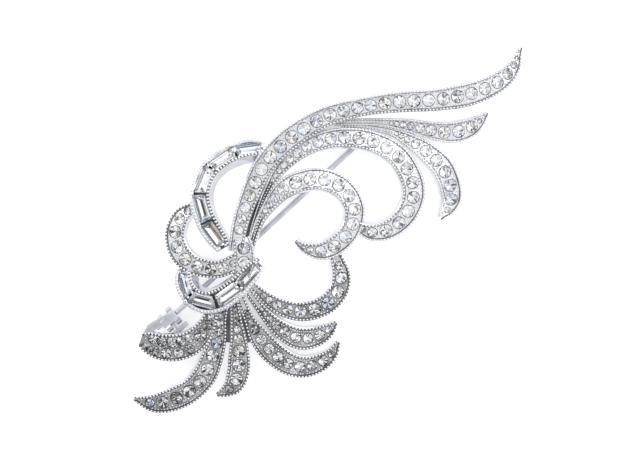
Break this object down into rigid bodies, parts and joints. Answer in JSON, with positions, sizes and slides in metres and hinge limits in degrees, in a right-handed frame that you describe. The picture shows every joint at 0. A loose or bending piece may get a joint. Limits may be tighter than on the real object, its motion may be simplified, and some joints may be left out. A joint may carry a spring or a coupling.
{
  "type": "crystal brooch",
  "caption": "Openwork spray brooch of crystal-paved feathers and scrolls, tied by baguette ribbons, with a hinged pin and a roller catch behind.",
  "frame": {"origin": "under the middle of the brooch, on the surface that it lies on", "axes": "+X along the spray towards the end of the long top feather, +Y towards the top of the spray, +Z out of its face"},
  "size_m": [0.0652, 0.0616, 0.0083],
  "materials": {
    "rhodium": "polished rhodium plate, slightly darker in the grooves",
    "crystal": "clear cut crystal on a mirror foil",
    "findings": "smooth polished rhodium plate"
  },
  "bodies": {
    "brooch": {"setting": "rhodium", "upper_baguette_1": "crystal", "upper_baguette_2": "crystal", "upper_baguette_3": "crystal", "upper_baguette_4": "crystal", "upper_baguette_5": "crystal", "lower_baguette_1": "crystal", "lower_baguette_2": "crystal", "lower_baguette_3": "crystal", "lower_baguette_4": "crystal"},
    "pin": {"pin_stem": "findings"},
    "roller": {"catch_roller": "findings"}
  },
  "joints": [
    {"name": "pin_swing", "type": "hinge", "parent": "brooch", "child": "pin", "pos_m": [0.00608, 0.01549, 0.0016], "axis": [0.6821, -0.7313, 0], "range_deg": [0, 75]},
    {"name": "roller_turn", "type": "hinge", "parent": "brooch", "child": "roller", "pos_m": [-0.02662, -0.01501, 0.0016], "axis": [0.7313, 0.6821, 0], "range_deg": [0, 100]}
  ]
}
